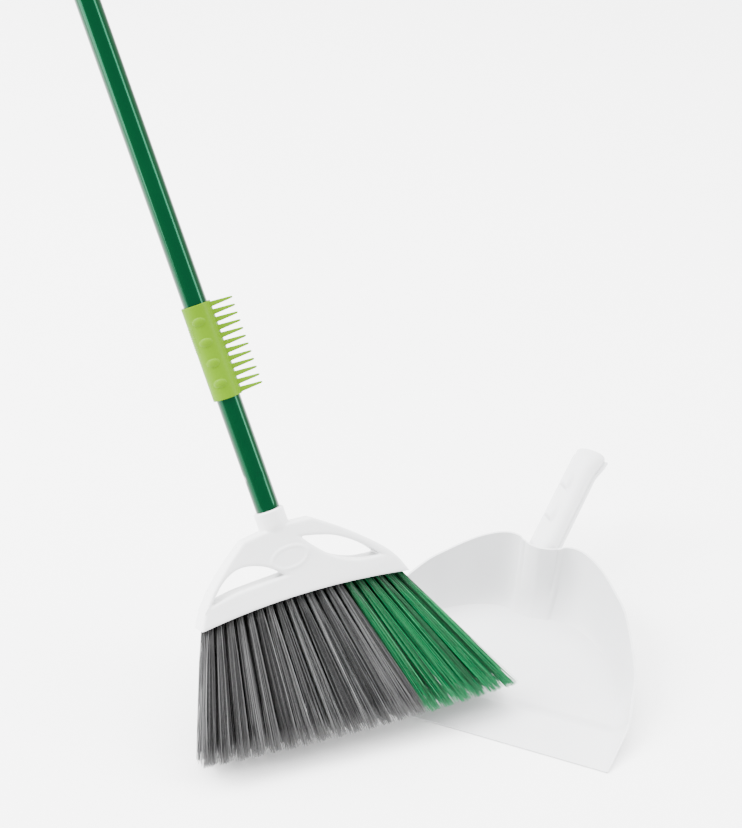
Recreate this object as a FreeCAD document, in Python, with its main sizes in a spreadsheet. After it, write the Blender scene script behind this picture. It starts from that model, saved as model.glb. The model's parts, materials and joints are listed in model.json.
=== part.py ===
import FreeCAD, Part
import Sketcher
import math
import os

# Angle broom with a comb on its handle, and the dust pan that goes with it.
# Row frame: origin on the floor, under the pan, midway across it; +X along the lip to the
# right, +Y from the lip to the pan's handle, +Z up. The broom stands on its bristles in front
# of the pan, leaning back and to the left, with its right end over the pan's ramp.
# Broom frame: origin at the top of the head's collar, +Z up the handle, +X to the head's long
# side, +Y to the back. Both frames are in millimetres.

os.makedirs("parts", exist_ok=True)
doc = FreeCAD.newDocument("broom_and_dust_pan")
V = FreeCAD.Vector

DIMENSIONS = {
    "tube_outer": 12.7, "tube_wall": 0.7, "tube_length": 1180, "tube_gap": 0.5,
    "dimple_size": 6, "dimple_depth": 0.45, "dimple_height": 38, "dimple_count": 4,
    "plug_length": 52, "spigot_outer": 9.4, "spigot_length": 25, "thread_clearance": 0.08,
    "cap_wall": 1.4, "cap_skirt": 22, "cap_crown": 5, "tab_width": 20, "tab_thickness": 9,
    "tab_height": 16, "hang_hole": 4,
    "collar_outer": 16, "collar_height": 24, "socket_depth": 30,
    "hood_top_depth": 26, "hood_foot_depth": 43, "hood_wall": 2.4, "cavity_height": 18,
    "shoulder_z": -19, "hood_left": -110.5, "hood_right": 116.5, "block_lean": 9, "block_fit": 0.3,
    "cavity_inset": 10,
    "edge_middle": -91.9, "edge_slope": -0.0817, "edge_bow": -0.00067,
    "block_height": 14, "tuft_columns": 20, "grey_columns": 14, "tuft_rows": 4,
    "root_first": -97, "root_last": 102, "root_row_pitch": 9, "root_depth": 9,
    "tip_first": -148, "tip_last": 175, "tip_row_pitch": 13, "tip_middle": -249.3,
    "tip_centre": 13.3, "tip_slope": -0.134, "tip_bow": 0.000188,
    "root_across": 4.2, "tip_across": 8.2, "tuft_ratio": 0.76,
    "staple_length": 9.6, "staple_wire": 0.5, "staple_width": 1.6, "staple_inset": 2,
    "comb_length": 100, "comb_height": 123.5, "comb_outer": 15.6, "comb_clearance": 0.06,
    "comb_mouth": 17, "comb_reach": 38.6, "comb_turn": -14, "tooth_count": 12,
    "tooth_root": 8, "tooth_tip": 2.4, "tooth_plate": 2.8, "tooth_offset": 6,
    "tooth_inner": 12.6, "tooth_neck": 14.5,
    "pad_length": 7, "pad_width": 4, "pad_rise": 2, "pad_inset": 0.6,
    "pad_pitch": 22, "pad_count": 4,
    "lean": 33.561, "lean_heading": 148.783, "head_twist": -104.634,
    "collar_x": -225.8, "collar_y": -110.1,
    "pan_lip": -120, "pan_wall": 2.4, "pan_floor": 2.6, "rim_rise": 0.334, "rim_start": 1.2,
    "ramp_run": 50, "ramp_height": 6, "ramp_back": 66, "lip_thickness": 1.2,
    "grip_width": 36, "grip_crown": 12, "grip_wall": 2.4, "grip_start": 210, "grip_base": 68,
    "grip_length": 180, "grip_slope": 7, "grip_flange": 3, "grip_drop": 6,
}

sheet = doc.addObject("Spreadsheet::Sheet", "dims")
for line, (alias, value) in enumerate(DIMENSIONS.items(), start=1):
    sheet.set("A%d" % line, alias)
    sheet.set("B%d" % line, str(value))
    sheet.setAlias("B%d" % line, alias)
doc.recompute()


def size(alias):
    return float(getattr(sheet, alias))


def count(alias):
    return int(size(alias))


def bound(kind, name, **sizes):
    """A document object whose sizes follow the sheet; two underscores stand for a dot."""
    item = doc.addObject(kind, name)
    for prop, formula in sizes.items():
        item.setExpression(prop.replace("__", "."), formula)
    return item


def joined(name, pieces):
    item = doc.addObject("Part::MultiFuse", name)
    item.Shapes = pieces
    return item


def cut(name, base, tool):
    item = doc.addObject("Part::Cut", name)
    item.Base = base
    item.Tool = tool
    return item


nodes = []


def node(item, label, placement=None):
    item.Label = label
    if placement:
        item.Placement = placement
    nodes.append(item)
    return item


def solid_node(label, shape, placement):
    """A free-form piece: its shape is set first and its place after it."""
    item = doc.addObject("Part::Feature", label)
    item.Shape = shape
    return node(item, label, placement)


# ---- the broom's place: it stands on its lowest bristle tip ----

broom_turn = FreeCAD.Rotation(V(0, 0, 1), size("lean_heading"))
broom_turn = broom_turn.multiply(FreeCAD.Rotation(V(0, 1, 0), size("lean")))
broom_turn = broom_turn.multiply(FreeCAD.Rotation(V(0, 0, 1), size("head_twist")))


# ---- bristle tufts ----

def edge_z(x):
    """The head's lower edge: a shallow arc that drops towards the long side."""
    return size("edge_middle") + size("edge_slope") * x + size("edge_bow") * x * x


def tip_z(x):
    """The trim line of the bristles, steeper than the head's edge."""
    run = x - size("tip_centre")
    return size("tip_middle") + size("tip_slope") * run + size("tip_bow") * run * run


def ring(centre, across, sides=8):
    deep = across * size("tuft_ratio")
    turns = [2 * math.pi * (k + 0.5) / sides for k in range(sides)]
    return [centre + V(across * math.cos(a), deep * math.sin(a), 0) for a in turns]


def frustum(root, tip):
    """A closed solid between two similar rings in parallel planes."""
    sides = len(root)
    faces = [Part.Face(Part.makePolygon(ends + [ends[0]])) for ends in (root, tip)]
    for k in range(sides):
        n = (k + 1) % sides
        faces.append(Part.Face(Part.makePolygon([root[k], root[n], tip[n], tip[k], root[k]])))
    body = Part.Solid(Part.Shell(faces))
    return body.reversed() if body.Volume < 0 else body


def spread(first, last, index):
    return size(first) + (size(last) - size(first)) * index / (count("tuft_columns") - 1)


def row_y(pitch, row):
    return size(pitch) * (row - (count("tuft_rows") - 1) / 2)


def tuft(column, row):
    root_x = spread("root_first", "root_last", column)
    tip_x = spread("tip_first", "tip_last", column)
    root = V(root_x, row_y("root_row_pitch", row), edge_z(root_x) + size("root_depth"))
    tip = V(tip_x, row_y("tip_row_pitch", row), tip_z(tip_x))
    return frustum(ring(root, size("root_across")), ring(tip, size("tip_across")))


columns = []
for c in range(count("tuft_columns")):
    columns.append(Part.makeCompound([tuft(c, r) for r in range(count("tuft_rows"))]))
lowest = min(broom_turn.multVec(v.Point).z for col in columns for v in col.Vertexes)
broom = FreeCAD.Placement(V(size("collar_x"), size("collar_y"), -lowest), broom_turn)

for c, column in enumerate(columns):
    grey = c < count("grey_columns")
    number = c + 1 if grey else c + 1 - count("grey_columns")
    solid_node("%s_tufts_%02d" % ("grey" if grey else "green", number), column, broom)


# ---- wire staples, one across the folded root of each tuft ----

def staple(column, row):
    root_x = spread("root_first", "root_last", column)
    long_way, wire, wide = size("staple_length"), size("staple_wire"), size("staple_width")
    corner = V(root_x - long_way / 2, row_y("root_row_pitch", row) - wire / 2,
               edge_z(root_x) + size("root_depth") - size("staple_inset") - wide / 2)
    return Part.makeBox(long_way, wire, wide, corner)


staples = [staple(c, r) for c in range(count("tuft_columns")) for r in range(count("tuft_rows"))]
solid_node("tuft_staples", Part.makeCompound(staples), broom)


# ---- head: hood with two windows, and the block that holds the tufts ----

def smooth(points):
    curve = Part.BSplineCurve()
    curve.interpolate([V(x, 0, z) for x, z in points])
    return curve.toShape()


def straight(a, b):
    return Part.makeLine(V(a[0], 0, a[1]), V(b[0], 0, b[1]))


def slab(edges, depth):
    """An outline in the XZ plane, made into a plate that is centred on that plane."""
    face = Part.Face(Part.Wire(Part.__sortEdges__(edges)))
    return face.extrude(V(0, depth, 0)).translated(V(0, -depth / 2, 0))


def edge_line(left, right, lift):
    """The head's lower edge from left to right, raised by lift."""
    xs = [left + (right - left) * k / 6 for k in range(7)]
    return [(x, edge_z(x) + lift) for x in xs]


def band(left, right, low, high, depth):
    """A plate along the head's lower edge, between two heights, with its ends leaning in."""
    lean = size("block_lean") / size("block_height")
    under = edge_line(left + lean * low, right - lean * low, low)
    over = edge_line(left + lean * high, right - lean * high, high)
    ends = [straight(under[0], over[0]), straight(under[-1], over[-1])]
    return slab([smooth(under), smooth(over)] + ends, depth)


def taper(top_z, foot_z):
    """The head's side view: thin at the shoulders, full depth at the lower edge."""
    thin, full = size("hood_top_depth") / 2, size("hood_foot_depth") / 2
    end = 1.5 * size("hood_left")
    side = [V(end, -thin, top_z), V(end, thin, top_z), V(end, full, foot_z), V(end, -full, foot_z)]
    return Part.Face(Part.makePolygon(side + [side[0]])).extrude(V(-2 * end, 0, 0))


hood_left, hood_right, neck_radius = size("hood_left"), size("hood_right"), size("collar_outer")
shoulder_left, shoulder_right = (-neck_radius, size("shoulder_z")), (neck_radius, size("shoulder_z"))
left_arch = [(hood_left, edge_z(hood_left)), (-98, -70.7), (-83.4, -54.7), (-61, -36.4), (-38, -20.5)]
right_arch = [(38, -22), (66, -44.2), (94.2, -71.5), (108, -90), (hood_right, edge_z(hood_right))]
outline = [smooth(left_arch), straight(left_arch[-1], shoulder_left)]
outline += [straight(shoulder_left, shoulder_right), straight(shoulder_right, right_arch[0])]
outline += [smooth(right_arch), smooth(edge_line(hood_left, hood_right, 0))]
full_depth = size("hood_foot_depth") + 2
hood = slab(outline, full_depth).common(taper(size("shoulder_z"), edge_z(hood_right)))

right_window = [smooth([(22, -36), (40.6, -42.2), (58, -50.2), (80, -67.5), (93.6, -83.6)]),
                smooth([(22, -36), (30, -50), (46.4, -67), (68, -78.5), (93.6, -83.6)])]
left_window = [smooth([(-90.5, -69.5), (-70, -50.8), (-49, -44.6), (-26, -52), (-10, -67.5)]),
               smooth([(-90.5, -69.5), (-66, -66.5), (-42, -66.5), (-10, -67.5)])]
for window in (right_window, left_window):
    hood = hood.cut(slab(window, full_depth))

neck = Part.makeCylinder(neck_radius, size("collar_height"), V(0, 0, -size("collar_height")))
hood = hood.fuse(neck).removeSplitter()
socket_radius = size("spigot_outer") + size("thread_clearance")
hood = hood.cut(Part.makeCylinder(socket_radius, size("socket_depth"), V(0, 0, -size("socket_depth"))))
inner_left, inner_right = hood_left + 3, hood_right - 4
block_depth = size("hood_foot_depth") - 2 * size("hood_wall") - 2
block_room = band(inner_left, inner_right, -1, size("block_height"), block_depth)
cavity_left, cavity_right = inner_left + size("cavity_inset"), inner_right - size("cavity_inset")
cavity_low = size("block_height") - 1
cavity = band(cavity_left, cavity_right, cavity_low, size("cavity_height"), block_depth - 4)
hood = hood.cut(block_room).cut(cavity)
solid_node("broom_hood", hood, broom)

all_tufts = Part.makeCompound([s for column in columns for s in column.Solids])
block_left, block_right = inner_left + size("block_fit"), inner_right - size("block_fit")
block = band(block_left, block_right, 0, size("block_height"), block_depth).cut(all_tufts)
solid_node("bristle_block", block, broom)


# ---- handle: steel tube, threaded ferrule and hanging cap ----

outer = bound("Part::Cylinder", "tube_skin", Radius="dims.tube_outer", Height="dims.tube_length",
              Placement__Base__z="dims.tube_gap")
bore = bound("Part::Cylinder", "tube_bore", Radius="dims.tube_outer - dims.tube_wall",
             Height="dims.tube_length + 2", Placement__Base__z="dims.tube_gap - 1")


def dimple_tools(prefix):
    """Spheres round the tube that press the crimps into it and into the ferrule."""
    reach = "(dims.tube_outer + dims.dimple_size - dims.dimple_depth)"
    tools = []
    for k in range(count("dimple_count")):
        turn = k * 360 / count("dimple_count")
        tools.append(bound("Part::Sphere", "%s_%d" % (prefix, k + 1), Radius="dims.dimple_size",
                           Placement__Base__x="%s * cos(%g)" % (reach, turn),
                           Placement__Base__y="%s * sin(%g)" % (reach, turn),
                           Placement__Base__z="dims.dimple_height"))
    return tools


node(cut("tube", outer, joined("tube_cuts", [bore] + dimple_tools("dimple"))), "handle_tube", broom)

plug = bound("Part::Cylinder", "ferrule_plug", Radius="dims.tube_outer - dims.tube_wall",
             Height="dims.plug_length", Placement__Base__z="dims.tube_gap")
spigot = bound("Part::Cylinder", "ferrule_spigot", Radius="dims.spigot_outer",
               Height="dims.spigot_length + dims.tube_gap + 1",
               Placement__Base__z="-dims.spigot_length")
ferrule = cut("ferrule", joined("ferrule_blank", [plug, spigot]), joined("seats", dimple_tools("seat")))
node(ferrule, "threaded_ferrule", broom)

tube_top = "dims.tube_gap + dims.tube_length"
skirt = bound("Part::Cylinder", "cap_skirt_blank", Radius="dims.tube_outer + dims.cap_wall",
              Height="dims.cap_skirt + dims.cap_crown",
              Placement__Base__z="%s - dims.cap_skirt" % tube_top)
cap_bore = bound("Part::Cylinder", "cap_bore", Radius="dims.tube_outer", Height="dims.cap_skirt + 1",
                 Placement__Base__z="%s - dims.cap_skirt - 1" % tube_top)
tab = bound("Part::Box", "hang_tab", Length="dims.tab_width", Width="dims.tab_thickness",
            Height="dims.tab_height", Placement__Base__x="-dims.tab_width / 2",
            Placement__Base__y="-dims.tab_thickness / 2",
            Placement__Base__z="%s + dims.cap_crown / 2" % tube_top)
hole_z = "%s + dims.cap_crown / 2 + dims.tab_height" % tube_top
tab_end = bound("Part::Cylinder", "hang_tab_end", Radius="dims.tab_width / 2",
                Height="dims.tab_thickness", Placement__Base__y="dims.tab_thickness / 2",
                Placement__Base__z=hole_z)
hang_hole = bound("Part::Cylinder", "hang_hole_tool", Radius="dims.hang_hole",
                  Height="dims.tab_thickness + 4", Placement__Base__y="dims.tab_thickness / 2 + 2",
                  Placement__Base__z=hole_z)
for item in (tab_end, hang_hole):
    item.Placement.Rotation = FreeCAD.Rotation(V(1, 0, 0), 90)
cap = cut("cap", joined("cap_blank", [skirt, tab, tab_end]), joined("cap_cuts", [cap_bore, hang_hole]))
node(cap, "hanging_cap", broom)


# ---- comb: a clip that slides on the handle, with a row of teeth down one side ----

def plane(body, role):
    return next(f for f in body.Origin.OriginFeatures if f.Role == role)


def sketch(body, name, role, offset=None):
    item = body.newObject("Sketcher::SketchObject", name)
    item.AttachmentSupport = [(plane(body, role), "")]
    item.MapMode = "FlatFace"
    if offset:
        item.AttachmentOffset = offset
    return item


def drive(item, kind, geometry, value, label, formula):
    index = item.addConstraint(Sketcher.Constraint(kind, *geometry, value))
    item.renameConstraint(index, label)
    item.setExpression("Constraints.%s" % label, formula)


comb = doc.addObject("PartDesign::Body", "comb_body")
ring_sketch = sketch(comb, "comb_ring", "XY_Plane")
outer_radius, inner_radius = size("comb_outer"), size("tube_outer") + size("comb_clearance")
ring_circles = (("outer", outer_radius, "dims.comb_outer"),
                ("inner", inner_radius, "dims.tube_outer + dims.comb_clearance"))
for label, radius, formula in ring_circles:
    g = ring_sketch.addGeometry(Part.Circle(V(0, 0, 0), V(0, 0, 1), radius), False)
    ring_sketch.addConstraint(Sketcher.Constraint("Coincident", g, 3, -1, 1))
    drive(ring_sketch, "Radius", (g,), radius, label, formula)
clip = comb.newObject("PartDesign::Pad", "comb_clip")
clip.Profile = ring_sketch
clip.setExpression("Length", "dims.comb_length")
doc.recompute()

turned = FreeCAD.Placement(V(0, 0, size("tooth_offset")), FreeCAD.Rotation())
tooth_sketch = sketch(comb, "comb_tooth", "XZ_Plane", turned)
root, middle, half_tip = size("tooth_root"), size("tooth_root") / 2, size("tooth_tip") / 2
inner_x, neck_x, reach_x = size("tooth_inner"), size("tooth_neck"), size("comb_reach")
tooth = [V(inner_x, 0, 0), V(neck_x, 0, 0), V(reach_x, middle - half_tip, 0),
         V(reach_x, middle + half_tip, 0), V(neck_x, root, 0), V(inner_x, root, 0)]
for k in range(len(tooth)):
    tooth_sketch.addGeometry(Part.LineSegment(tooth[k], tooth[(k + 1) % len(tooth)]), False)
for k in range(len(tooth)):
    tooth_sketch.addConstraint(Sketcher.Constraint("Coincident", k, 2, (k + 1) % len(tooth), 1))
tooth_pad = comb.newObject("PartDesign::Pad", "comb_tooth_pad")
tooth_pad.Profile = tooth_sketch
tooth_pad.Midplane = True
tooth_pad.setExpression("Length", "dims.tooth_plate")
doc.recompute()
teeth = comb.newObject("PartDesign::LinearPattern", "comb_teeth")
teeth.Originals = [tooth_pad]
teeth.Direction = (plane(comb, "Z_Axis"), [""])
teeth.setExpression("Length", "dims.comb_length - dims.tooth_root")
teeth.Occurrences = count("tooth_count")
comb.Tip = teeth
doc.recompute()

mouth_sketch = sketch(comb, "comb_mouth_outline", "XY_Plane")
half_mouth = size("comb_mouth") / 2
corners = [V(-half_mouth, 4, 0), V(half_mouth, 4, 0), V(half_mouth, 20, 0), V(-half_mouth, 20, 0)]
for k in range(4):
    mouth_sketch.addGeometry(Part.LineSegment(corners[k], corners[(k + 1) % 4]), False)
for k in range(4):
    mouth_sketch.addConstraint(Sketcher.Constraint("Coincident", k, 2, (k + 1) % 4, 1))
mouth = comb.newObject("PartDesign::Pocket", "comb_mouth_cut")
mouth.Profile = mouth_sketch
mouth.Type = 1
mouth.Midplane = True
comb.Tip = mouth
doc.recompute()

pad = comb.newObject("PartDesign::AdditiveEllipsoid", "comb_pad")
pad.setExpression("Radius1", "dims.pad_rise")
pad.setExpression("Radius2", "dims.pad_length")
pad.setExpression("Radius3", "dims.pad_width")
pad_z = (size("comb_length") - size("pad_pitch") * (count("pad_count") - 1)) / 2
pad.Placement = FreeCAD.Placement(V(-2, size("pad_inset") - size("comb_outer"), pad_z),
                                  FreeCAD.Rotation(V(1, 0, 0), 90))
doc.recompute()
pads = comb.newObject("PartDesign::LinearPattern", "comb_pads")
pads.Originals = [pad]
pads.Direction = (plane(comb, "Z_Axis"), [""])
pads.setExpression("Length", "dims.pad_pitch * (dims.pad_count - 1)")
pads.Occurrences = count("pad_count")
comb.Tip = pads
comb_turn = FreeCAD.Rotation(V(0, 0, 1), size("comb_turn"))
comb_place = FreeCAD.Placement(V(0, 0, size("comb_height")), comb_turn)
node(comb, "comb", broom.multiply(comb_place))


# ---- dust pan: one moulding with its handle ----

def pan_outline(inset):
    """The rim seen from above: a straight lip, full sides, and two lobes at the back."""
    side = [(158, 0), (162, 45), (148, 118), (119, 174), (73.5, 222), (38.6, 238.6), (20, 234)]
    right = [V(x - inset * min(1, x / 60), y - inset * min(1, y / 200), 0) for x, y in side]
    right[0].y = -2 if inset else 0
    left = [V(-p.x, p.y, 0) for p in right]
    edges = []
    for points in (right, left):
        curve = Part.BSplineCurve()
        curve.interpolate(points)
        edges.append(curve.toShape())
    edges.append(Part.makeLine(right[0], left[0]))
    edges.append(Part.makeLine(right[-1], left[-1]))
    return Part.Face(Part.Wire(Part.__sortEdges__(edges)))


def across(profile, width):
    """A side view, as (y, z) points, made into a prism across the pan."""
    points = [V(-width / 2, y, z) for y, z in profile]
    return Part.Face(Part.makePolygon(points + [points[0]])).extrude(V(width, 0, 0))


ramp, crest, back = size("ramp_run"), size("ramp_height"), size("ramp_back")
floor_top, lip_top, rise = size("pan_floor"), size("lip_thickness"), size("rim_rise")
near_y, far_y, full_width, high_z = -5, 260, 400, 130
rim_near = size("rim_start") + rise * near_y
rim_far = size("rim_start") + rise * far_y
below_rim = across([(near_y, -1), (far_y, -1), (far_y, rim_far), (near_y, rim_near)], full_width)
above_floor = across([(near_y, lip_top), (0, lip_top), (ramp, crest), (back, floor_top),
                      (far_y, floor_top), (far_y, high_z), (near_y, high_z)], full_width)
hollow_start, hollow_end, hollow_width = 12, back - 3, 280
under_ramp = across([(hollow_start, -1), (hollow_start, 0), (ramp, crest - floor_top),
                     (hollow_end, 0), (hollow_end, -1)], hollow_width)
tall = V(0, 0, high_z)
pan = pan_outline(0).extrude(tall).common(below_rim)
pan = pan.cut(pan_outline(size("pan_wall")).extrude(tall).common(above_floor))
pan = pan.cut(under_ramp)


def grip_section(width, crown, drop):
    """A half-round arch of the given width, closed by a straight line at its foot."""
    half = width / 2
    arc = Part.Arc(V(-half, 0, 0), V(0, 0, crown), V(half, 0, 0)).toShape()
    sides = Part.makePolygon([V(-half, 0, 0), V(-half, 0, -drop), V(half, 0, -drop), V(half, 0, 0)])
    return Part.Face(Part.Wire(Part.__sortEdges__([arc] + sides.Edges)))


length, wall, drop = size("grip_length"), size("grip_wall"), size("grip_drop")
width, crown = size("grip_width"), size("grip_crown")
arch_width = width - 2 * size("grip_flange")
outside = grip_section(arch_width, crown, drop).extrude(V(0, length, 0))
rims = Part.makeBox(width, length, wall, V(-width / 2, 0, -drop))
inside = grip_section(arch_width - 2 * wall, crown - wall, drop + 1).extrude(V(0, length, 0))
grip = outside.fuse(rims).cut(inside).removeSplitter()
grip.Placement = FreeCAD.Placement(V(0, size("grip_start"), size("grip_base")),
                                   FreeCAD.Rotation(V(1, 0, 0), size("grip_slope")))
inner_space = pan_outline(size("pan_wall")).extrude(tall)
pan = pan.fuse(grip.cut(inner_space)).removeSplitter()
solid_node("dust_pan", pan, FreeCAD.Placement(V(0, size("pan_lip"), 0), FreeCAD.Rotation()))


# ---- checks and export ----

doc.recompute()
for item in doc.Objects:
    if "Invalid" in item.State or "Error" in item.State:
        raise RuntimeError("%s: %s" % (item.Name, item.State))
for item in nodes:
    shape = item.Shape
    if shape.isNull() or not shape.isValid() or not shape.Solids:
        raise RuntimeError("%s has no valid solid" % item.Label)
    shape.exportStep("parts/%s.step" % item.Label)
    box = shape.BoundBox
    print("%-18s solids %3d volume %9.1f  x %7.1f %7.1f  y %7.1f %7.1f  z %7.1f %7.1f" % (
        item.Label, len(shape.Solids), shape.Volume, box.XMin, box.XMax, box.YMin, box.YMax,
        box.ZMin, box.ZMax))
print("top of the collar at", broom.Base, "turned by", broom.Rotation.toEuler())
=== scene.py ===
import json
import math

import bmesh
import bpy
import numpy as np
from mathutils import Matrix, Vector


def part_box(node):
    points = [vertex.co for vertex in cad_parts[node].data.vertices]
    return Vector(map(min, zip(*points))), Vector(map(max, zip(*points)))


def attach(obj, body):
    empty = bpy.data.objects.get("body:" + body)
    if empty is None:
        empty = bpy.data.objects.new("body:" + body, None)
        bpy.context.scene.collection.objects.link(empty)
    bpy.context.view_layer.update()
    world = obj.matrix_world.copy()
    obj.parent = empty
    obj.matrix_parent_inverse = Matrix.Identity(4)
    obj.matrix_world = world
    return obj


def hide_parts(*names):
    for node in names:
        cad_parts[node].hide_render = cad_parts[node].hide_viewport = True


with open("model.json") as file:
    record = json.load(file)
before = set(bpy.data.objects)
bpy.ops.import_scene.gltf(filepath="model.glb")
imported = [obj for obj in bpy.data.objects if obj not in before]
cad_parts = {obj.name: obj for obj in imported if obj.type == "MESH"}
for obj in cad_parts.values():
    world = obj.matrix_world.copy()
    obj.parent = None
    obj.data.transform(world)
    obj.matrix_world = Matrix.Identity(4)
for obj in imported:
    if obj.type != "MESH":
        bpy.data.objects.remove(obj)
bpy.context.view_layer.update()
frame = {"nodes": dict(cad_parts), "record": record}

MM = 0.001
record = frame["record"]
joints = {j["name"]: j for j in record["behaviour"]["joints"]}
mounts = {m["name"]: m for m in record["mounts"]}

# The broom's own frame, in mm: origin at the top of the collar, Z up the handle, Y to the back.
broom_up = Vector(joints["handle_screw"]["axis"]).normalized()
broom_back = Vector(mounts["hang_hole"]["axis"]).normalized()
broom_right = broom_back.cross(broom_up)
turn = Matrix((broom_right, broom_back, broom_up)).transposed().to_4x4()
BROOM = Matrix.Translation(joints["handle_screw"]["pos_m"]) @ turn @ Matrix.Scale(MM, 4)

# The pan's own frame, in mm: origin at the middle of its lip, on the floor.
pan_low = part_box("dust_pan")[0]
PAN = Matrix.Translation((0, pan_low[1], 0)) @ Matrix.Scale(MM, 4)


# ---------- materials ----------

class Nodes:
    """A material's node tree, with short names for the nodes that are used here."""

    def __init__(self, name):
        self.material = bpy.data.materials.new(name)
        self.material.use_nodes = True
        self.tree = self.material.node_tree
        self.shader = self.tree.nodes["Principled BSDF"]

    def add(self, kind, **values):
        node = self.tree.nodes.new(kind)
        for key, value in values.items():
            if hasattr(node, key):
                setattr(node, key, value)
            else:
                node.inputs[key.replace("_", " ")].default_value = value
        return node

    def link(self, source, target):
        self.tree.links.new(source, target)

    def noise(self, scale, detail=3.0):
        node = self.add("ShaderNodeTexNoise", Scale=scale, Detail=detail)
        self.link(self.add("ShaderNodeTexCoord").outputs["Object"], node.inputs["Vector"])
        return node.outputs["Fac"]

    def ramp(self, factor, stops):
        node = self.add("ShaderNodeValToRGB")
        while len(node.color_ramp.elements) < len(stops):
            node.color_ramp.elements.new(0.5)
        for element, (place, colour) in zip(node.color_ramp.elements, stops):
            element.position = place
            element.color = (*colour, 1)
        self.link(factor, node.inputs["Fac"])
        return node.outputs["Color"]

    def grey(self, factor, low, high):
        return self.ramp(factor, [(0.3, (low,) * 3), (0.7, (high,) * 3)])

    def bump(self, height, strength, distance):
        node = self.add("ShaderNodeBump", Strength=strength, Distance=distance)
        self.link(height, node.inputs["Height"])
        self.link(node.outputs["Normal"], self.shader.inputs["Normal"])

    def mix(self, factor, first, second):
        node = self.add("ShaderNodeMix", data_type="RGBA")
        self.link(factor, node.inputs["Factor"])
        for value, socket in ((first, node.inputs["A"]), (second, node.inputs["B"])):
            if isinstance(value, tuple):
                socket.default_value = (*value, 1)
            else:
                self.link(value, socket)
        return node.outputs["Result"]


def moulded(name, light, dark, rough=(0.26, 0.38), shine=0.3, grain=0.12):
    """Moulded plastic: a faint cloudiness, fine surface grain and handling marks in the gloss, and painted
    shade where the piece's points are labelled for it.
    """
    m = Nodes(name)
    cloud = m.ramp(m.noise(9.0, 4.0), [(0.35, dark), (0.65, light)])
    # Painted shade: the colour is mixed towards a quarter of the dark tone, as far as the points' label
    # says.
    painted_shade = m.add("ShaderNodeAttribute", attribute_name="painted_shade").outputs["Fac"]
    painted_shade_tint = tuple(0.25 * c for c in dark)
    m.link(m.mix(painted_shade, cloud, painted_shade_tint), m.shader.inputs["Base Color"])
    m.link(m.grey(m.noise(60.0, 5.0), *rough), m.shader.inputs["Roughness"])
    m.bump(m.noise(900.0, 2.0), grain, 0.00015)
    m.shader.inputs["Specular IOR Level"].default_value = shine
    return m.material


def enamel():
    """Gloss paint on a drawn steel tube: slight orange peel and fine rub marks."""
    m = Nodes("green_enamel")
    deep, light = (0.0, 0.011, 0.002), (0.0, 0.015, 0.003)
    cloud = m.ramp(m.noise(14.0, 3.0), [(0.3, deep), (0.7, light)])
    m.link(cloud, m.shader.inputs["Base Color"])
    m.link(m.grey(m.noise(45.0, 6.0), 0.1, 0.16), m.shader.inputs["Roughness"])
    m.bump(m.noise(420.0, 2.0), 0.06, 0.0002)
    m.shader.inputs["Specular IOR Level"].default_value = 0.3
    m.shader.inputs["Specular Tint"].default_value = (0.12, 1.0, 0.55, 1)
    return m.material


def filament(name, deep, mid, pale, tip):
    """Drawn plastic filament: each strand has its own shade, painted shade darkens it towards its root,
    and the split tips are paler.
    """
    m = Nodes(name)
    shade = m.add("ShaderNodeAttribute", attribute_name="shade").outputs["Fac"]
    along = m.add("ShaderNodeAttribute", attribute_name="along").outputs["Fac"]
    strand = m.ramp(shade, [(0.0, deep), (0.55, mid), (1.0, pale)])
    # Painted shade: each strand darkens to 0.22 of its tone at its root, inside the head, and reaches full
    # tone about a third of the way along.
    root = m.ramp(along, [(0.0, (0.22,) * 3), (0.35, (1,) * 3)])
    shaded = m.add("ShaderNodeMix", data_type="RGBA", blend_type="MULTIPLY")
    shaded.inputs["Factor"].default_value = 1.0
    m.link(strand, shaded.inputs["A"])
    m.link(root, shaded.inputs["B"])
    worn = m.ramp(along, [(0.86, (0,) * 3), (1.0, (0.5,) * 3)])
    m.link(m.mix(worn, shaded.outputs["Result"], tip), m.shader.inputs["Base Color"])
    m.link(m.grey(m.noise(300.0, 2.0), 0.3, 0.45), m.shader.inputs["Roughness"])
    m.shader.inputs["Specular IOR Level"].default_value = 0.3
    return m.material


def steel_wire():
    """Bright drawn wire, with a fine mottle."""
    m = Nodes("steel_wire")
    m.shader.inputs["Metallic"].default_value = 1.0
    m.link(m.grey(m.noise(800.0), 0.5, 0.68), m.shader.inputs["Base Color"])
    m.link(m.grey(m.noise(1500.0), 0.25, 0.4), m.shader.inputs["Roughness"])
    return m.material


hood_white = moulded("hood_white", (0.66, 0.665, 0.67), (0.63, 0.635, 0.64))
pan_white = moulded("pan_white", (0.63, 0.635, 0.645), (0.6, 0.605, 0.615), (0.3, 0.42))
inner_white = moulded("inner_white", (0.6, 0.6, 0.6), (0.55, 0.55, 0.55), (0.45, 0.6))
lime = moulded("lime_plastic", (0.08, 0.175, 0.0001), (0.068, 0.15, 0.0001), (0.34, 0.46), 0.06)
cap_green = moulded("cap_green", (0.0, 0.03, 0.009), (0.0, 0.024, 0.007), (0.3, 0.42), 0.16)
tube_green = enamel()
grey_strands = filament("grey_filament", deep=(0.004, 0.004, 0.0042), mid=(0.04, 0.04, 0.041),
                        pale=(0.19, 0.19, 0.192), tip=(0.15, 0.15, 0.15))
green_strands = filament("green_filament", deep=(0.0, 0.012, 0.004), mid=(0.0, 0.1, 0.029),
                         pale=(0.001, 0.29, 0.09), tip=(0.006, 0.24, 0.085))
wire = steel_wire()


# ---------- mesh helpers ----------

def in_scene(name, data):
    item = bpy.data.objects.new(name, data)
    bpy.context.scene.collection.objects.link(item)
    return item


def mesh_object(name, verts, faces):
    """A smooth-shaded object, from points and faces."""
    mesh = bpy.data.meshes.new(name)
    mesh.from_pydata([tuple(v) for v in verts], [], faces)
    mesh.update()
    mesh.shade_smooth()
    return in_scene(name, mesh)


def paint(item, material):
    item.data.materials.clear()
    item.data.materials.append(material)


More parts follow.
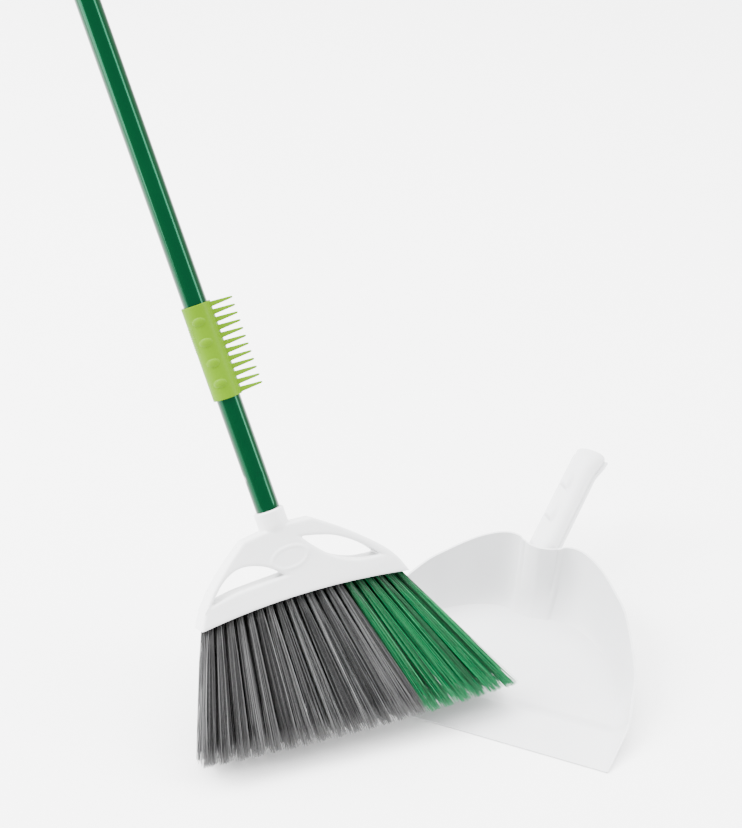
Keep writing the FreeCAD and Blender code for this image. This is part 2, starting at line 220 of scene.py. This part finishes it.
def finished(item, place, body, material, nodes, crisp=None):
    """Moves a piece from its own mm frame to the row's, and gives it its finish and its body."""
    item.data.transform(place)
    paint(item, material)
    if crisp:
        item.data.set_sharp_from_angle(angle=math.radians(crisp))
    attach(item, body)
    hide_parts(*nodes)


def baked(item):
    """The object's mesh with its modifiers applied, in a fresh object of the same name."""
    depsgraph = bpy.context.evaluated_depsgraph_get()
    mesh = bpy.data.meshes.new_from_object(item.evaluated_get(depsgraph))
    name = item.name
    old = item.data
    bpy.data.objects.remove(item)
    if isinstance(old, bpy.types.Mesh):
        bpy.data.meshes.remove(old)
    else:
        bpy.data.curves.remove(old)
    mesh.name = name
    return in_scene(name, mesh)


def joined(name, items):
    """Several objects as one, each with its own faces."""
    whole = bmesh.new()
    for item in items:
        whole.from_mesh(item.data)
        bpy.data.objects.remove(item)
    mesh = bpy.data.meshes.new(name)
    whole.to_mesh(mesh)
    whole.free()
    return in_scene(name, mesh)


def mend(item, weld=0.0, thin=0.0):
    """Welds points closer than weld, drops faces thinner than thin, and turns every face outward."""
    mesh = bmesh.new()
    mesh.from_mesh(item.data)
    if weld:
        bmesh.ops.remove_doubles(mesh, verts=mesh.verts, dist=weld)
    if thin:
        bmesh.ops.dissolve_degenerate(mesh, edges=mesh.edges, dist=thin)
    bmesh.ops.recalc_face_normals(mesh, faces=mesh.faces)
    mesh.to_mesh(item.data)
    mesh.free()


def united(name, items, voxel, smooth_steps):
    """Overlapping solids made into one moulding, with every inside corner blended."""
    item = joined(name, items)
    remesh = item.modifiers.new("one_moulding", "REMESH")
    remesh.mode = "VOXEL"
    remesh.voxel_size = voxel
    remesh.use_smooth_shade = True
    soften = item.modifiers.new("soften", "SMOOTH")
    soften.factor = 0.5
    soften.iterations = smooth_steps
    item = baked(item)
    item.data.shade_smooth()
    return item


def without(item, tool):
    """Cuts one closed solid out of another."""
    cut = item.modifiers.new("cut", "BOOLEAN")
    cut.operation = "DIFFERENCE"
    cut.solver = "EXACT"
    cut.object = tool
    item = baked(item)
    bpy.data.objects.remove(tool)
    return item


def through(points, steps=10):
    """A smooth curve through the points (Catmull-Rom), as a list of pairs."""
    pts = [np.array(p, float) for p in points]
    pts = [2 * pts[0] - pts[1]] + pts + [2 * pts[-1] - pts[-2]]
    out = []
    for a, b, c, d in zip(pts, pts[1:], pts[2:], pts[3:]):
        for k in range(steps):
            t = k / steps
            out.append(0.5 * (2 * b + (c - a) * t + (2 * a - 5 * b + 4 * c - d) * t * t
                              + (3 * b - a - 3 * c + d) * t ** 3))
    out.append(pts[-2])
    return [tuple(p) for p in out]


def plate(name, outlines, half_depth, edge=0.0, rounds=3):
    """A plate in the XZ plane, centred on it, from an outline and its holes, with rounded edges."""
    curve = bpy.data.curves.new(name, "CURVE")
    curve.dimensions = "2D"
    curve.fill_mode = "BOTH"
    curve.extrude = half_depth - edge
    curve.bevel_depth = edge
    curve.bevel_resolution = rounds
    curve.offset = -edge
    for outline in outlines:
        spline = curve.splines.new("POLY")
        spline.points.add(len(outline) - 1)
        for point, (x, z) in zip(spline.points, outline):
            point.co = (x, z, 0, 1)
        spline.use_cyclic_u = True
    item = baked(in_scene(name, curve))
    item.data.transform(Matrix.Rotation(math.radians(90), 4, "X"))
    mend(item, weld=1e-4)
    return item


def lathe(name, profile):
    """A closed solid of revolution about Z, from (radius, z) points that start and end on the axis."""
    sides = 64
    verts, faces, rings = [], [], []
    for radius, z in profile:
        if radius == 0:
            rings.append([len(verts)])
            verts.append((0, 0, z))
        else:
            rings.append(list(range(len(verts), len(verts) + sides)))
            for k in range(sides):
                a = 2 * math.pi * k / sides
                verts.append((radius * math.cos(a), radius * math.sin(a), z))
    for low, high in zip(rings, rings[1:]):
        for k in range(sides):
            n = (k + 1) % sides
            if len(low) == 1:
                faces.append((low[0], high[n], high[k]))
            elif len(high) == 1:
                faces.append((low[k], low[n], high[0]))
            else:
                faces.append((low[k], low[n], high[n], high[k]))
    return mesh_object(name, verts, faces)


def reshape(item, rule):
    """Moves every vertex (x, y, z) of the piece to rule(x, y, z)."""
    count = len(item.data.vertices)
    flat = np.empty(count * 3)
    item.data.vertices.foreach_get("co", flat)
    moved = np.array(rule(*flat.reshape(-1, 3).T)).T
    item.data.vertices.foreach_set("co", moved.ravel())
    item.data.update()


def smoothstep(low, high, value):
    t = np.clip((value - low) / (high - low), 0, 1)
    return t * t * (3 - 2 * t)


# ---------- bristles ----------

COLUMNS, ROWS, GREYS = 20, 4, 14
OUTER_ROW_FILAMENTS, INNER_ROW_FILAMENTS = 100, 50
ROOT_DEPTH = 6
ROOT_SPREAD, TIP_SPREAD = 3.4, 7.6
FILAMENT_RADIUS = 0.42
TIPS_OFF_FLOOR = 0.0003


def edge_z(x):
    """The head's lower edge."""
    return -91.9 - 0.0817 * x - 0.00067 * x * x


def tip_z(x):
    """The trim line of the bristles."""
    run = x - 13.3
    return -249.3 - 0.134 * run + 0.000188 * run * run


def tuft_ends(column, row):
    """The middle of a tuft at its root, inside the head, and at its tip."""
    share = column / (COLUMNS - 1)
    root_x, tip_x = -98 + 200 * share, -148 + 327 * share
    lane = row - (ROWS - 1) / 2
    root = np.array((root_x, 9 * lane, edge_z(root_x) + ROOT_DEPTH))
    return root, np.array((tip_x, 13 * lane, tip_z(tip_x)))


def strands(column, rng):
    """One column of tufts, front to back, as a mesh of thin three-sided filaments."""
    corner = 2 * math.pi * np.arange(3) / 3
    stages = np.array((0.0, 0.3, 0.62, 0.86, 1.0))
    verts, faces, shade, along = [], [], [], []
    start = 0
    for row in range(ROWS):
        root, tip = tuft_ends(column, row)
        amount = OUTER_ROW_FILAMENTS if row in (0, ROWS - 1) else INNER_ROW_FILAMENTS
        tuft_shade = rng.uniform(-0.12, 0.1)
        for _ in range(amount):
            angle, reach = rng.uniform(0, 2 * math.pi), math.sqrt(rng.uniform(0, 1))
            disc = np.array((math.cos(angle), 0.76 * math.sin(angle), 0)) * reach
            a = root + disc * ROOT_SPREAD
            b = tip + disc * TIP_SPREAD + np.array((rng.normal(0, 0.8), rng.normal(0, 0.6), 0))
            b[2] += abs(rng.normal(0, 1.4)) + 4.0 * reach ** 6 * rng.uniform(0, 1)
            bow = np.array((rng.normal(0, 0.8), rng.normal(0, 0.6), 0))
            hook = np.array((rng.normal(0, 0.9), rng.normal(0, 0.6), 0))
            wide = FILAMENT_RADIUS * rng.uniform(0.75, 1.15)
            tone = np.clip(rng.normal(0.48, 0.27) + tuft_shade, 0, 1)
            for s in stages:
                centre = a + (b - a) * s + bow * 4 * s * (1 - s) + hook * max(0, s - 0.62) ** 2 * 6
                radius = wide * (1 - 0.55 * max(0, s - 0.8) / 0.2)
                for t in corner:
                    verts.append(centre + radius * np.array((math.cos(t + angle), math.sin(t + angle), 0)))
                    along.append(s)
                    shade.append(tone)
            rings = len(stages)
            for k in range(rings - 1):
                for n in range(3):
                    p, q = start + 3 * k + n, start + 3 * k + (n + 1) % 3
                    faces.append((p, p + 3, q + 3, q))
            faces.append((start, start + 1, start + 2))
            end = start + 3 * (rings - 1)
            faces.append((end + 2, end + 1, end))
            start += 3 * rings
    return verts, faces, shade, along


def label_points(item, label, values):
    """A number for every point of the mesh, which the materials read."""
    layer = item.data.attributes.new(label, "FLOAT", "POINT")
    layer.data.foreach_set("value", values)


def bristles():
    """A piece for each column. Tips that splay sideways stay on the floor, not under it."""
    rng = np.random.default_rng(11)
    for column in range(COLUMNS):
        grey = column < GREYS
        colour = "grey" if grey else "green"
        number = column + 1 if grey else column + 1 - GREYS
        verts, faces, shade, along = strands(column, rng)
        item = mesh_object("%s_bristles_%02d" % (colour, number), verts, faces)
        label_points(item, "shade", shade)
        label_points(item, "along", along)
        finished(item, BROOM, "broom_head", grey_strands if grey else green_strands,
                 ["%s_tufts_%02d" % (colour, number)])
        reshape(item, lambda x, y, z: (x, y, np.maximum(z, TIPS_OFF_FLOOR)))


# ---------- head ----------

def edge_curve(left, right, lift):
    """The head's lower edge from left to right, raised by lift."""
    return [(x, edge_z(x) + lift) for x in np.linspace(left, right, 24)]


def hood_half_depth(z):
    """Half the head's depth: slim at the shoulders and full at the lower edge."""
    return np.interp(z, (-115, -92, -60, -19), (20.8, 20.5, 17.0, 13.5))


def hood_shell():
    """The arched head with its two windows, hollow below for the block that holds the tufts."""
    left, right, neck, shoulder = -110.5, 116.5, 15.5, -19
    left_arch = through([(left, edge_z(left)), (-107, -84), (-98, -70.7), (-83.4, -54.7),
                         (-61, -36.4), (-38, -20.5)])
    right_arch = through([(38, -22), (66, -44.2), (94.2, -71.5), (108, -90), (right, edge_z(right))])
    lower_edge = edge_curve(left, right, 0)[::-1][1:-1]
    outline = left_arch + [(-neck, shoulder), (neck, shoulder)] + right_arch + lower_edge
    right_window = (through([(20, -36), (40.6, -42.2), (58, -50.2), (80, -67.5), (93.6, -83.6)])
                    + through([(93.6, -83.6), (68, -78.5), (46.4, -67), (30, -50), (20, -36)])[1:-1])
    left_window = (through([(-92, -69.5), (-70, -50.8), (-49, -44.6), (-26, -52), (-8, -67.5)])
                   + through([(-8, -67.5), (-42, -66.5), (-66, -66.5), (-92, -69.5)])[1:-1])
    half_depth = 20
    shell = plate("hood_shell", [outline, right_window, left_window], half_depth, edge=3.2, rounds=4)
    reshape(shell, lambda x, y, z: (x, y * hood_half_depth(z) / half_depth, z))
    lean, left_wall, right_wall, below, room_height = 9 / 14, 2.8, 3.8, 4, 14
    room_left, room_right = left + left_wall, right - right_wall
    room_foot = edge_curve(room_left - below * lean, room_right + below * lean, -below)
    room_top = edge_curve(room_left + room_height * lean, room_right - room_height * lean, room_height)
    room = plate("hood_room", [room_foot + room_top[::-1]], 17.6)
    return without(shell, room)


def hood_collar():
    """The socket for the handle. It widens and flattens where it runs into the head."""
    collar = lathe("hood_collar", [(0, -32), (16, -32), (16, -28), (16, -24), (16, -20), (16, -16),
                                   (15.9, -1.2), (15.2, -0.1), (13, 0), (0, 0)])

    def flare(x, y, z):
        wider = 1 + 0.7 * smoothstep(-17, -30, z)
        flatter = 1 - 0.3 * smoothstep(-16, -30, z)
        return x * wider, y * flatter, z

    reshape(collar, flare)
    return collar


def oval(half_width, half_height):
    """An oval round the middle of the badge."""
    middle_x, middle_z, points = 2, -52, 72
    turns = [2 * math.pi * k / points for k in range(points)]
    return [(middle_x + half_width * math.cos(a), middle_z + half_height * math.sin(a)) for a in turns]


def hood_badge():
    """The raised oval on the front of the head, with a dished middle and no mark on it."""
    half_width, half_height, half_depth = 21.5, 12.5, 17.6
    badge = plate("hood_badge", [oval(half_width, half_height)], half_depth, edge=1.2, rounds=2)
    reshape(badge, lambda x, y, z: (x, np.minimum(y, 6) * (hood_half_depth(z) + 0.9) / half_depth, z))
    dish = plate("hood_badge_dish", [oval(half_width * 0.84, half_height * 0.78)], 3, edge=0.8, rounds=2)
    reshape(dish, lambda x, y, z: (x, y - hood_half_depth(z) - 3.2, z))
    return without(badge, dish)


def hood():
    """The head as one moulding."""
    parts = [hood_shell(), hood_collar(), hood_badge()]
    item = united("broom_hood_moulding", parts, voxel=0.95, smooth_steps=2)
    finished(item, BROOM, "broom_head", hood_white, ["broom_hood"])


# ---------- comb ----------

COMB_LENGTH, TEETH = 100.0, 12


def comb_rake():
    """The flat row of tapered teeth, with a round-bottomed gap between each two."""
    inner, root, reach, end_margin = 12.4, 15.9, 38.6, 4
    foot, gap_depth, shoulder = 2.75, 2.4, 1.15
    pitch = (COMB_LENGTH - 2 * end_margin) / (TEETH - 1)
    gap = pitch / 2
    outline = [(inner, 0)]
    for k in range(TEETH):
        middle = end_margin + pitch * k
        outline += [(root, middle - foot), (reach - 1.5, middle - shoulder), (reach, middle - 0.5),
                    (reach, middle + 0.5), (reach - 1.5, middle + shoulder), (root, middle + foot)]
        if k < TEETH - 1:
            for a in np.radians((-60, -30, 0, 30, 60)):
                rise = gap + (gap - foot) * math.sin(a)
                outline.append((root - gap_depth * math.cos(a), middle + rise))
    outline += [(inner, COMB_LENGTH)]
    rake = plate("comb_rake", [outline], 1.35, edge=0.55, rounds=2)
    reshape(rake, lambda x, y, z: (x, y - 6, z))
    return rake


def tube_faces(rings, many):
    """Faces of a capped tube whose points come ring by ring, many to a ring."""
    faces = []
    for k in range(rings - 1):
        for n in range(many):
            p, q = k * many + n, k * many + (n + 1) % many
            faces.append((p, q, q + many, p + many))
    faces.append(tuple(range(many))[::-1])
    faces.append(tuple((rings - 1) * many + n for n in range(many)))
    return faces


def comb_clip():
    """The part that snaps round the handle: a ring with a mouth at its back."""
    outer, inner = 15.6, 12.95
    mouth = math.asin(8.5 / 14)
    turns = np.linspace(math.pi / 2 + mouth, 2.5 * math.pi - mouth, 90)
    section = [(outer * math.cos(a), outer * math.sin(a)) for a in turns]
    section += [(inner * math.cos(a), inner * math.sin(a)) for a in turns[::-1]]
    levels = np.linspace(0, COMB_LENGTH, 101)
    verts = [(x, y, z) for z in levels for x, y in section]
    return mesh_object("comb_clip", verts, tube_faces(len(levels), len(section)))


def comb_grips(x, y, z):
    """Raises four finger pads down the face and fine grip ribs on the left edge."""
    radius = np.hypot(x, y)
    skin = smoothstep(14.6, 15.4, radius)
    rise = np.zeros_like(x)
    for k in range(4):
        middle = 17 + 22 * k
        spot = ((x + 2) / 7.0) ** 2 + ((z - middle) / 4.4) ** 2
        rise += 1.7 * np.clip(1 - spot, 0, 1) ** 0.6 * (y < -8)
    ribbed = (x < -11) * (z > 52) * (z < 78)
    ribs = 0.45 * np.maximum(0, np.sin(z * 2 * math.pi / 2.4)) * ribbed
    grow = 1 + skin * (rise + ribs) / radius
    return x * grow, y * grow, z


def comb():
    """The comb sits 123.5 mm above the collar, turned 14 degrees towards the front."""
    item = united("comb_moulding", [comb_clip(), comb_rake()], voxel=0.5, smooth_steps=1)
    reshape(item, comb_grips)
    item.data.transform(Matrix.Translation((0, 0, 123.5)) @ Matrix.Rotation(math.radians(-14), 4, "Z"))
    finished(item, BROOM, "comb", lime, ["comb"])


# ---------- handle ----------

def handle_tube():
    """The painted tube, with four crimps pressed into it over the ferrule."""
    outer, inner, low, length = 12.7, 12.0, 0.5, 1180
    crimp_height, crimp_radius, crimp_depth = 38, 3.4, 0.75
    top = low + length
    levels = [low, low + 0.25, low + 0.6] + list(np.arange(6, 30, 6)) + list(np.arange(30, 46.1, 0.8))
    levels += list(np.linspace(60, top - 1, 60)) + [top - 0.3, top]
    sides = 128
    verts, faces = [], []
    for z in levels:
        radius = outer - (0.35 if z == low else 0.08 if z < low + 0.4 else 0)
        for k in range(sides):
            a = 2 * math.pi * k / sides
            near = min(abs((a - t * math.pi / 2 + math.pi) % (2 * math.pi) - math.pi) for t in range(4))
            spot = (near * outer / crimp_radius) ** 2 + ((z - crimp_height) / crimp_radius) ** 2
            r = radius - crimp_depth * math.exp(-spot * 1.2)
            verts.append((r * math.cos(a), r * math.sin(a), z))
    for z in (top, low):
        for k in range(sides):
            a = 2 * math.pi * k / sides
            verts.append((inner * math.cos(a), inner * math.sin(a), z))
    rings = len(levels) + 2
    for k in range(rings):
        for n in range(sides):
            p, q = k * sides + n, k * sides + (n + 1) % sides
            u, v = (k + 1) % rings * sides + n, (k + 1) % rings * sides + (n + 1) % sides
            faces.append((p, q, v, u))
    item = mesh_object("handle_enamel_tube", verts, faces)
    finished(item, BROOM, "handle", tube_green, ["handle_tube"], crisp=40)


# ---------- dust pan ----------

# The right half of the pan seen from above, from the lip back to the middle: its rim, and the
# crease where its floor turns up into the wall. Each point of one goes with the same point of the other.
RIM = [(158, 0), (162.2, 48), (160.8, 64), (156.5, 84), (148, 118), (119, 174), (97, 200), (73.5, 222),
       (53, 234.5), (38.6, 238.6), (27, 237.5), (20, 233.5), (0, 232)]
CREASE = [(157.5, 0), (143, 50), (140, 66), (136.5, 84), (129, 112), (105, 158), (84, 180), (63, 194),
          (46, 201), (35, 203), (25, 202), (18, 199), (0, 196)]
WALL, FLOOR_TOP, LIP = 2.4, 2.6, 1.2
RAMP_RUN, RAMP_TOP, RAMP_END = 50.0, 6.0, 66.0
SPINE_END, ROUND_FROM = 150.0, 60
FLOOR_STEPS, WALL_STEPS = 12, 14
WALL_BEND = 0.62
RIDGE_RISE, RIDGE_HALF_WIDTH = 9.5, 18.5


def rim_z(v):
    """The height of the rim, which rises from the lip to the back."""
    return LIP + 0.334 * v


def floor_z(v):
    """The height of the floor inside: a ramp up from the lip, a short drop, and then flat."""
    return np.interp(v, (0, RAMP_RUN, RAMP_END, 400), (LIP, RAMP_TOP, FLOOR_TOP, FLOOR_TOP))


def pan_rows():
    """Matching points round the rim and the crease, from the right end of the lip to the left end."""
    steps = 12
    rim, crease = through(RIM, steps), through(CREASE, steps)
    half = list(zip(rim, crease))
    other = [((-r[0], r[1]), (-c[0], c[1])) for r, c in half[::-1][1:]]
    return half + other


def pan_section(rim, crease, outside):
    """Points from the middle of the floor, out to the crease and up the wall to the rim.

    The wall bulges into a ridge at its middle, where the handle runs into it.
    """
    (ru, rv), (cu, cv) = rim, crease
    points = []
    spine_v = min(cv, SPINE_END)
    for k in range(FLOOR_STEPS):
        t = k / FLOOR_STEPS
        u, v = cu * t, spine_v + (cv - spine_v) * t
        top = floor_z(v)
        points.append((u, v, top if not outside else max(0.0, top - FLOOR_TOP)))
    grow = 0.0 if outside else WALL
    behind = max(rv - ROUND_FROM, 0)
    away = math.hypot(ru, behind) or 1
    eu, ev = ru - grow * ru / away, rv - grow * behind / away
    low = floor_z(cv) if not outside else max(0.0, floor_z(cv) - FLOOR_TOP)
    high = max(rim_z(rv), low + 0.02)
    shift = (WALL if outside else 0.0) / (math.hypot(cu, cv) or 1) * min(1, rv / 30)
    bu, bv = cu * (1 + shift), cv * (1 + shift)
    ridge_here = RIDGE_RISE * max(0.0, 1 - (ru / RIDGE_HALF_WIDTH) ** 2) ** 0.75
    for k in range(WALL_STEPS + 1):
        t = k / WALL_STEPS
        over = WALL_BEND * math.sin(t * math.pi / 2) + (1 - WALL_BEND) * t
        up = WALL_BEND * (1 - math.cos(t * math.pi / 2)) + (1 - WALL_BEND) * t
        ridge = ridge_here * float(smoothstep(0.25, 0.95, t))
        u, v, z = bu + (eu - bu) * over, bv + (ev - bv) * over, low + (high - low) * up
        points.append((u, v - 0.9 * ridge, z + 0.4 * ridge))
    return points


def pan_shell():
    """The tray: an inner and an outer skin, joined along the rim and the lip."""
    rows = pan_rows()
    verts, faces = [], []
    for outside in (False, True):
        for rim, crease in rows:
            verts += pan_section(rim, crease, outside)
    layer = len(verts) // 2
    many = layer // len(rows)
    for s in range(len(rows) - 1):
        for k in range(many - 1):
            p, q = s * many + k, (s + 1) * many + k
            faces.append((p, p + 1, q + 1, q))
            faces.append((layer + p, layer + q, layer + q + 1, layer + p + 1))
        p, q = s * many + many - 1, (s + 1) * many + many - 1
        faces.append((p, layer + p, layer + q, q))
    for s in (0, len(rows) - 1):
        for k in range(many - 1):
            p = s * many + k
            ends = (p, layer + p, layer + p + 1, p + 1)
            faces.append(ends if s == 0 else ends[::-1])
    item = mesh_object("pan_shell", verts, faces)
    # Painted shade: a faint darkening in a band about 60 mm behind the lip, just behind the crest of the
    # floor's ramp.
    label_points(item, "painted_shade", [0.1 * math.exp(-((v - RAMP_END + 6) / 6) ** 2) for u, v, z in verts])
    mend(item, weld=0.004, thin=0.002)
    return item


def grip():
    """The handle: an arch with a thin rim on each side, and two finger steps on its left, with painted
    shade in the groove at the foot of each step.
    """
    base_y, base_z, slope = 210.0, 68.0, math.radians(7)
    start, end, arch, flange, drop = 16.0, 184.0, 12.0, 3.0, 6.0
    turns = np.linspace(0, math.pi, 41)
    verts, painted_shade = [], []
    distances = np.arange(start, end + 0.01, 0.8)
    for d in distances:
        tail = smoothstep(end, end - 16, d)
        crown = arch * (0.85 + 0.15 * tail)
        half = 15 + flange * smoothstep(20, 30, d)
        flare = 0.28 * smoothstep(end - 34, end, d)
        outer, inner, painted_groove_shade = [], [], []
        for a in turns:
            u = -(half - flange) * math.cos(a)
            side = smoothstep(2, -6, u)
            step, groove_shade = 0.0, 0.0
            for edge in (73.0, 126.0):
                ahead = d - edge + 15 * (u + 15) / 14
                groove = side * math.exp(-((ahead + 1.0) / 1.4) ** 2)
                swell = smoothstep(-0.4, 1.6, ahead) * (1 - smoothstep(2, 44, ahead))
                step += 3.0 * side * swell - 1.2 * groove
                # Painted shade: the groove at the foot of each finger step is darkened.
                groove_shade = max(groove_shade, 0.3 * groove)
            painted_groove_shade.append(groove_shade)
            z = (crown + step) * math.sin(a) ** 0.8
            outer.append((u, z))
            inner.append((u * (half - flange - WALL) / (half - flange), max(z - WALL, -4)))
        loop = [(-half, -drop), (-half, -drop + WALL), (-half + flange, -drop + WALL)] + outer
        loop += [(half - flange, -drop + WALL), (half, -drop + WALL), (half, -drop)]
        loop += [(half - flange - WALL, -drop)] + inner[::-1] + [(-half + flange + WALL, -drop)]
        many = len(loop)
        painted_shade += [0.0] * 3 + painted_groove_shade + [0.0] * (many - 3 - len(painted_groove_shade))
        for u, z in loop:
            y = base_y + d * math.cos(slope) - z * math.sin(slope)
            height = base_z + d * math.sin(slope) + z * math.cos(slope)
            verts.append((u * (1 + flare * (u > 0)), y, height))
    item = mesh_object("pan_grip", verts, tube_faces(len(distances), many))
    label_points(item, "painted_shade", painted_shade)
    mend(item)
    return item


def dust_pan():
    """The tray and its handle, which the real pan has as one moulding."""
    item = joined("dust_pan_moulding", [pan_shell(), grip()])
    item.data.shade_smooth()
    finished(item, PAN, "dust_pan", pan_white, ["dust_pan"], crisp=14)


# ---------- the pieces, and the CAD pieces that stay ----------

bristles()
hood()
comb()
handle_tube()
dust_pan()
paint(frame["nodes"]["bristle_block"], inner_white)
paint(frame["nodes"]["threaded_ferrule"], inner_white)
paint(frame["nodes"]["hanging_cap"], cap_green)
paint(frame["nodes"]["tuft_staples"], wire)


# ---------- floor, light and camera ----------

def floor():
    """A plain pale sheet, a hair below the pan and the bristles."""
    half, level = 30, -0.0004
    corners = [(-half, -half, level), (half, -half, level), (half, half, level), (-half, half, level)]
    item = mesh_object("floor", corners, [(0, 1, 2, 3)])
    m = Nodes("pale_floor")
    m.link(m.grey(m.noise(3.0), 0.9, 0.92), m.shader.inputs["Base Color"])
    m.shader.inputs["Roughness"].default_value = 0.7
    item.data.materials.append(m.material)


def area_light(name, place, target, width, height, power):
    lamp = bpy.data.lights.new(name, "AREA")
    lamp.shape = "RECTANGLE"
    lamp.size, lamp.size_y = width, height
    lamp.energy = power
    item = in_scene(name, lamp)
    item.location = place
    item.rotation_euler = (Vector(target) - Vector(place)).to_track_quat("-Z", "Y").to_euler()


def studio():
    """Large soft lights: one from each side, one low for the handle, one from above."""
    middle = (-0.1, 0.0, 0.2)
    area_light("key", (-2.6, -0.6, 2.6), middle, 1.6, 2.4, 420)
    area_light("side", (1.3, 0.4, 1.5), (-0.5, 0.05, 0.7), 0.5, 1.9, 55)
    area_light("low_left", (-1.9, -1.35, 0.75), (-0.5, 0.05, 0.6), 1.1, 1.1, 60)
    area_light("top", (-0.3, 1.0, 3.2), middle, 3.0, 3.0, 330)
    world = bpy.data.worlds.new("studio")
    world.use_nodes = True
    world.node_tree.nodes["Background"].inputs["Color"].default_value = (1, 1, 1, 1)
    world.node_tree.nodes["Background"].inputs["Strength"].default_value = 2.4
    bpy.context.scene.world = world


def camera():
    """The camera looks down at 36 degrees, from 22.8 degrees to the right of the pan's centre line."""
    azimuth, elevation = math.radians(22.8055), math.radians(36.0)
    lens = bpy.data.cameras.new("camera")
    lens.sensor_width = 36
    lens.lens = 104.35
    lens.clip_end = 100
    item = in_scene("camera", lens)
    item.location = (0.62377, -1.85711, 1.75181)
    level = math.cos(elevation)
    ahead = Vector((-math.sin(azimuth) * level, math.cos(azimuth) * level, -math.sin(elevation)))
    item.rotation_euler = ahead.to_track_quat("-Z", "Y").to_euler()
    bpy.context.scene.camera = item


floor()
studio()
camera()
